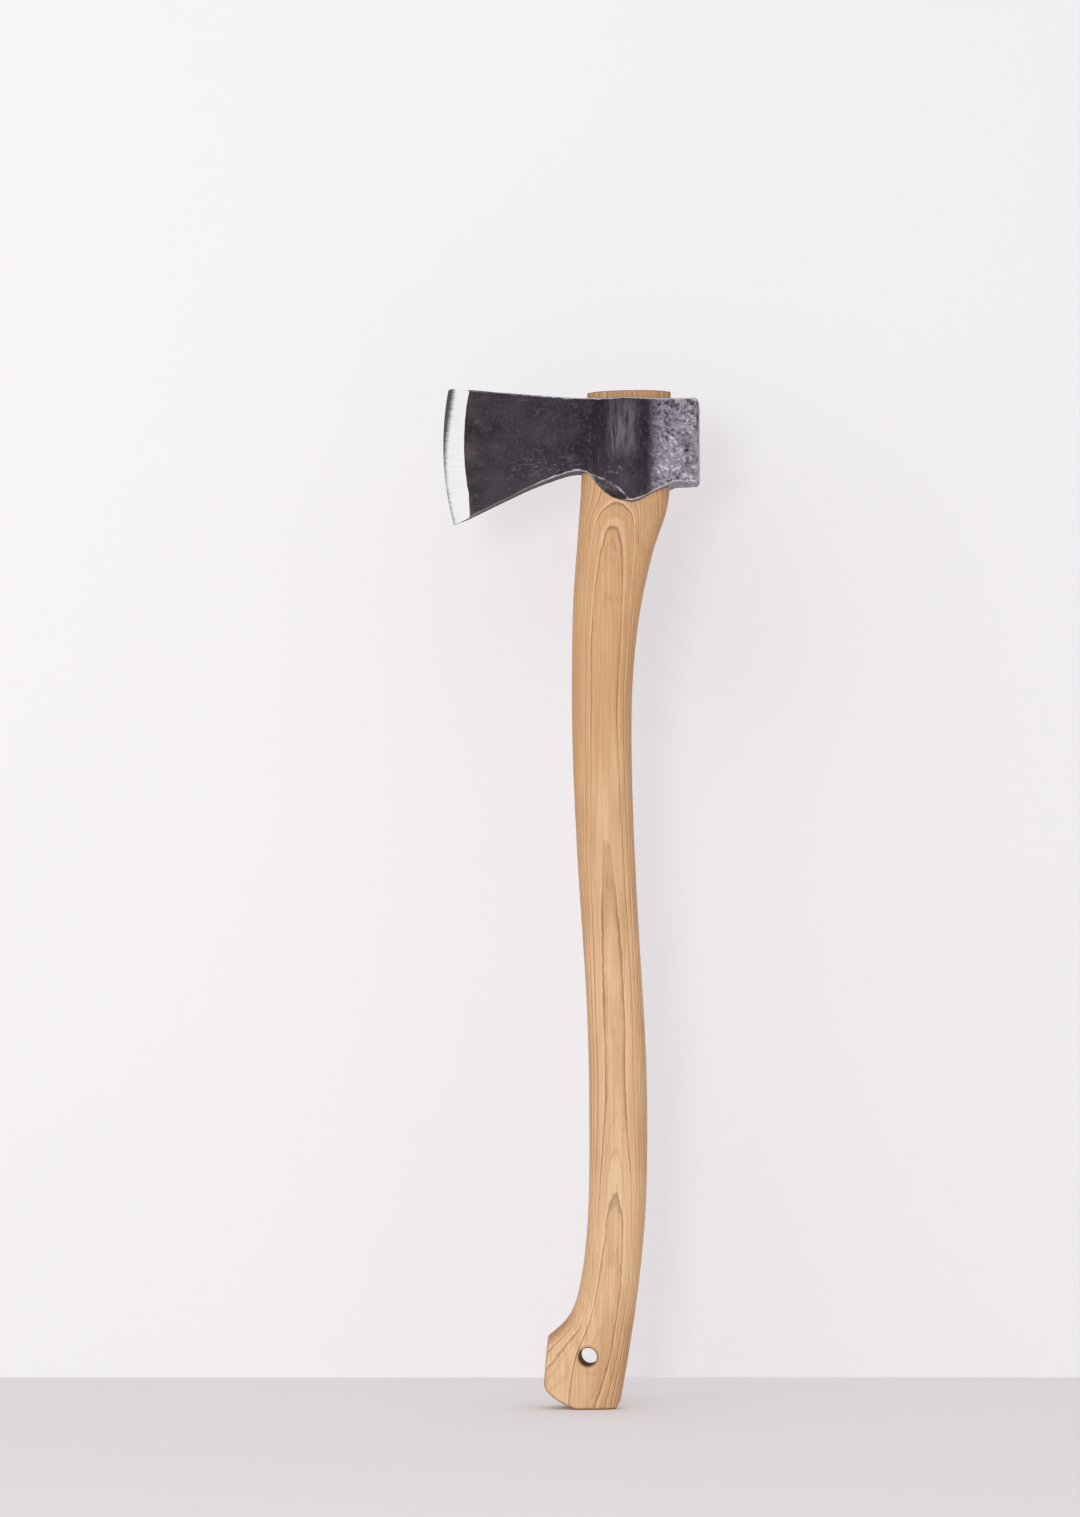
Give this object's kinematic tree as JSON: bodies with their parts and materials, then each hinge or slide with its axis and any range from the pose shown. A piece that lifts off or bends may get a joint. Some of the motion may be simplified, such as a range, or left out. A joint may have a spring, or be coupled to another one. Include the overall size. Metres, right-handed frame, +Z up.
{
  "type": "felling axe",
  "caption": "One-hand felling axe: a forged head with a flared bit, lugs and a square poll, wedged on a curved hickory haft with a swell foot and a hanging hole.",
  "frame": {"origin": "middle of the flat end of the haft's foot, on the axe's plane of symmetry", "axes": "+Z up the haft to the head, -X towards the cutting edge, +X towards the poll, Y through the thickness"},
  "size_m": [0.164, 0.0312, 0.6428],
  "materials": {
    "forged_steel": "dark forge scale, lightly brushed, with a bright ground bit",
    "hickory": "oiled, flat-sawn grain, warm honey colour",
    "wedge_wood": "oiled end grain, a shade darker than the haft",
    "bright_steel": "plain pressed steel"
  },
  "bodies": {
    "root": {"axe_head": "forged_steel", "haft": "hickory", "wooden_wedge": "wedge_wood", "steel_wedge": "bright_steel"}
  },
  "joints": []
}
